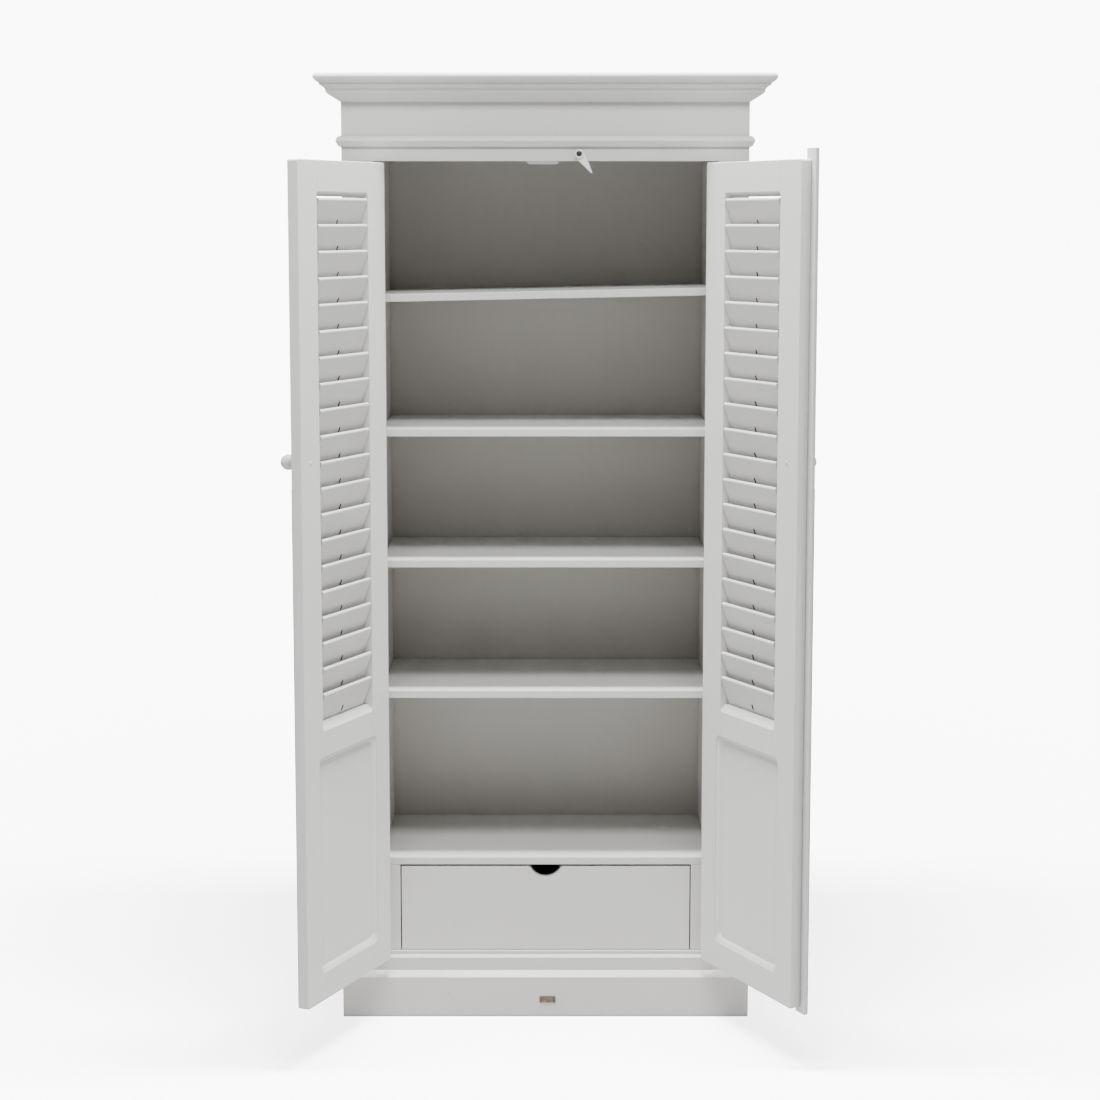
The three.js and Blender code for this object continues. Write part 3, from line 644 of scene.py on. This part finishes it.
for label, side in (("left", -1), ("right", 1)):
    place, _, inward = doorSpace(side)
    low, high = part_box(f"{label}_door_louvres")
    pitch = (high.z - low.z - slats["height"]) / (slats["count"] - 1)
    fall = slats["height"] - slats["thickness"]
    run = slats["innerEdge"] - slats["outerEdge"] - slats["thickness"]
    chord = (inward * run + up * fall).normalized()
    out = (inward * fall - up * run).normalized()  # the way the seen face of a slat looks
    staplePlaces = []
    for i in range(slats["count"]):
        topCentre = high.z - slats["thickness"] / 2 - i * pitch
        foot = place(slats["middle"], slats["outerEdge"] + slats["thickness"] / 2, topCentre - fall)
        staplePlaces.append((foot + chord * slats["stapleUp"] + out * slats["thickness"] / 2, out, chord))
    piece = setOut(f"{label}LouvreStaples", stapleHelper, staplePlaces, f"{label}_door", stapleSteel,
                   staples["spin"], staples["seed"])
    knobLow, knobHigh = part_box(f"{label}_door_knob")
    knobZ = (knobLow.z + knobHigh.z) / 2
    seat = place(knobScrew["fromPin"], knobScrew["innerFace"] - knobScrew["seated"], knobZ)
    screw = setOut(f"{label}KnobScrew", knobScrewHelper, [(seat, inward, up)], f"{label}_door", paintUpright,
                   knobScrew["spin"], knobScrew["seed"])
bpy.data.objects.remove(stapleHelper)
bpy.data.objects.remove(knobScrewHelper)
print("door fittings set out")


# brads round the back panel

brads = {"radius": 0.0021, "inset": 0.012, "pitch": 0.11, "overBoard": 0.0075, "spin": 0.5, "seed": 13}
bradMesh = latheMesh("bradMesh", [
    (0, 0), (brads["radius"], 0), (brads["radius"] * 0.9, 0.0005), (0, 0.0008)], 12)
bradHelper = linkNew("bradHelper", bradMesh)
low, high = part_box("back_panel")
bradPlaces = []
rows = int((high.z - low.z - 2 * brads["inset"]) / brads["pitch"])
for i in range(rows + 1):
    z = low.z + brads["inset"] + (high.z - low.z - 2 * brads["inset"]) * i / rows
    for x in (low.x + brads["inset"], high.x - brads["inset"]):
        bradPlaces.append((Vector((x, high.y, z)), Vector((0, 1, 0)), up))
columns = int((high.x - low.x - 2 * brads["inset"]) / brads["pitch"])
shelfLines = [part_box(n)[0].z + brads["overBoard"] for n in ("fixed_shelf", "bottom_board")]
for z in (low.z + brads["inset"], high.z - brads["inset"], *shelfLines):
    for i in range(1, columns):
        x = low.x + brads["inset"] + (high.x - low.x - 2 * brads["inset"]) * i / columns
        bradPlaces.append((Vector((x, high.y, z)), Vector((0, 1, 0)), up))
backBrads = setOut("backBrads", bradHelper, bradPlaces, "carcass", screwSteel,
                   brads["spin"], brads["seed"])
bpy.data.objects.remove(bradHelper)
print("back fixed")


# turn button's screw

buttonScrew = {"slotWidth": 0.0012, "slotDepth": 0.0011, "slotAngle": -32, "shank": 0.0022, "dome": 0.0010}
low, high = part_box("turn_button_screw")
centreX, centreZ = (low.x + high.x) / 2, (low.z + high.z) / 2
headRadius = (high.x - low.x) / 2
deep = high.y - low.y
shank, dome = buttonScrew["shank"], buttonScrew["dome"]
profile = [(0, 0), (shank, 0), (shank, deep - 0.0021), (headRadius, deep - 0.0020), (headRadius, deep - dome)]
for i in range(1, 6):
    t = i / 5 * quarter
    profile.append((headRadius * math.cos(t) if i < 5 else 0, deep - dome + dome * math.sin(t)))
screwMesh = cutSlot(latheMesh("buttonScrewMesh", profile, 32), "buttonScrew", buttonScrew["slotWidth"],
                    buttonScrew["slotDepth"], headRadius * 1.75)
screwMesh.transform(Matrix.Translation((centreX, high.y, centreZ)) @ Matrix.Rotation(quarter, 4, "X")
                    @ Matrix.Rotation(math.radians(buttonScrew["slotAngle"]), 4, "Z"))
buttonScrewPiece = linkNew("buttonScrew", screwMesh)
screwMesh.materials.clear()
screwMesh.materials.append(screwSteel)
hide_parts("turn_button_screw")
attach(buttonScrewPiece, "carcass")


# domed ring round that screw, on the turn button

buttonRing = {"inner": 0.0058, "outer": 0.0086, "height": 0.0009, "sunk": 0.0003, "steps": 12, "sides": 40}
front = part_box("turn_button")[0].y
middle = (buttonRing["inner"] + buttonRing["outer"]) / 2
halfWide = (buttonRing["outer"] - buttonRing["inner"]) / 2
build = bmesh.new()
rows = []
sides = buttonRing["sides"]
for i in range(buttonRing["steps"] + 1):
    t = i / buttonRing["steps"] * math.pi
    radius = middle + halfWide * math.cos(t)
    rise = -buttonRing["sunk"] + (buttonRing["height"] + buttonRing["sunk"]) * math.sin(t)
    rows.append([build.verts.new((centreX + radius * math.cos(2 * math.pi * k / sides), front - rise,
                                  centreZ + radius * math.sin(2 * math.pi * k / sides)))
                 for k in range(sides)])
for first, second in zip(rows, rows[1:] + rows[:1]):
    for k in range(sides):
        build.faces.new((first[k], first[(k + 1) % sides], second[(k + 1) % sides], second[k]))
ringPiece = linkNew("turnButtonRing", finishMesh(build, "turnButtonRing", 50))
# the ring takes the lighter copy of the paint: painted light
ringPiece.data.materials.append(paintLitCopy)
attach(ringPiece, "turn_button")


# plain plate on the plinth

plate = {"width": 0.033, "height": 0.015, "thickness": 0.0012, "corner": 0.0025, "cornerSteps": 5,
         "x": 0.004, "z": 0.036}
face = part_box("plinth_front")[0].y
build = bmesh.new()
outline = []
for cornerX, cornerZ, start in ((1, 1, 0), (-1, 1, 1), (-1, -1, 2), (1, -1, 3)):
    for i in range(plate["cornerSteps"] + 1):
        t = (start + i / plate["cornerSteps"]) * quarter
        outline.append((cornerX * (plate["width"] / 2 - plate["corner"]) + plate["corner"] * math.cos(t),
                        cornerZ * (plate["height"] / 2 - plate["corner"]) + plate["corner"] * math.sin(t)))
levels = [(1.0, 0), (1.0, plate["thickness"] * 0.7), (0.975, plate["thickness"]), (0.90, plate["thickness"]),
          (0.885, plate["thickness"] * 0.75)]
rings = []
for scale, depth in levels:
    inset = (1 - scale) * plate["width"] / 2
    rings.append([build.verts.new((plate["x"] + x - math.copysign(min(inset, abs(x)), x), face - depth,
                                   plate["z"] + z - math.copysign(min(inset, abs(z)), z)))
                  for x, z in outline])
for first, second in zip(rings, rings[1:]):
    for k in range(len(outline)):
        j = (k + 1) % len(outline)
        build.faces.new((first[k], first[j], second[j], second[k]))
build.faces.new(rings[0])
build.faces.new(rings[-1])
plainPlate = linkNew("plainPlate", finishMesh(build, "plainPlate", 25))
plainPlate.data.materials.append(plateBronze)
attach(plainPlate, "carcass")
print("fittings made")


# floor, light and camera

stageLook = {"floorTone": (0.5, 0.5, 0.5, 1), "backdrop": 10.0, "ambient": 0.05}

floorMesh = bpy.data.meshes.new("studioFloor")
floorMesh.from_pydata([(-9, -9, 0), (9, -9, 0), (9, 9, 0), (-9, 9, 0)], [], [(0, 1, 2, 3)])
floor = linkNew("studioFloor", floorMesh)
floor.is_shadow_catcher = True
floorPaint = bpy.data.materials.new("floorPaint")
floorPaint.use_nodes = True
floorPaint.node_tree.nodes["Principled BSDF"].inputs["Base Color"].default_value = stageLook["floorTone"]
floorPaint.node_tree.nodes["Principled BSDF"].inputs["Roughness"].default_value = 0.9
floorMesh.materials.append(floorPaint)

world = bpy.data.worlds.new("studioWorld")
bpy.context.scene.world = world
world.use_nodes = True
tree = world.node_tree
tree.nodes.clear()
seenDirectly = addNode(tree, "ShaderNodeLightPath")
light = addNode(tree, "ShaderNodeBackground", {"Color": (1, 1, 1, 1), "Strength": stageLook["ambient"]})
backdrop = addNode(tree, "ShaderNodeBackground", {"Color": (1, 1, 1, 1), "Strength": stageLook["backdrop"]})
choose = addNode(tree, "ShaderNodeMixShader", {0: seenDirectly.outputs["Is Camera Ray"]})
tree.links.new(light.outputs[0], choose.inputs[1])
tree.links.new(backdrop.outputs[0], choose.inputs[2])
worldOut = addNode(tree, "ShaderNodeOutputWorld")
tree.links.new(choose.outputs[0], worldOut.inputs["Surface"])

lamps = {
    "overhead": {"at": (0.0, -0.55, 4.2), "to": (0, -0.45, 0), "size": (2.6, 0.5), "power": 560},
    "overheadFront": {"at": (0.0, -2.0, 3.7), "to": (0, -0.2, 0.9), "size": (2.4, 0.6), "power": 115},
    "leftPanel": {"at": (-2.5, -1.6, 1.2), "to": (0.3, -0.3, 1.0), "size": (1.0, 2.2), "power": 21},
    "rightPanel": {"at": (2.5, -1.6, 1.2), "to": (-0.3, -0.3, 1.0), "size": (1.0, 2.2), "power": 20.5},
    "rear": {"at": (0.6, 3.6, 3.0), "to": (0, 0, 0.9), "size": (2.4, 1.6), "power": 60},
}
for name, lamp in lamps.items():
    data = bpy.data.lights.new(name, "AREA")
    data.shape = "RECTANGLE"
    data.size, data.size_y = lamp["size"]
    data.energy = lamp["power"]
    holder = linkNew(name, data)
    holder.location = lamp["at"]
    holder.rotation_euler = (Vector(lamp["to"]) - Vector(lamp["at"])).to_track_quat("-Z", "Y").to_euler()

view = {"at": (0.0090, -4.72, 1.617), "down": 6.95, "lens": 74.70, "rise": -0.047}
cameraData = bpy.data.cameras.new("frontCamera")
cameraData.sensor_width = 36
cameraData.lens = view["lens"]
cameraData.shift_y = view["rise"]
cameraData.clip_end = 60
camera = linkNew("frontCamera", cameraData)
camera.location = view["at"]
camera.rotation_euler = (math.radians(90 - view["down"]), 0, 0)
bpy.context.scene.camera = camera
print("stage set")
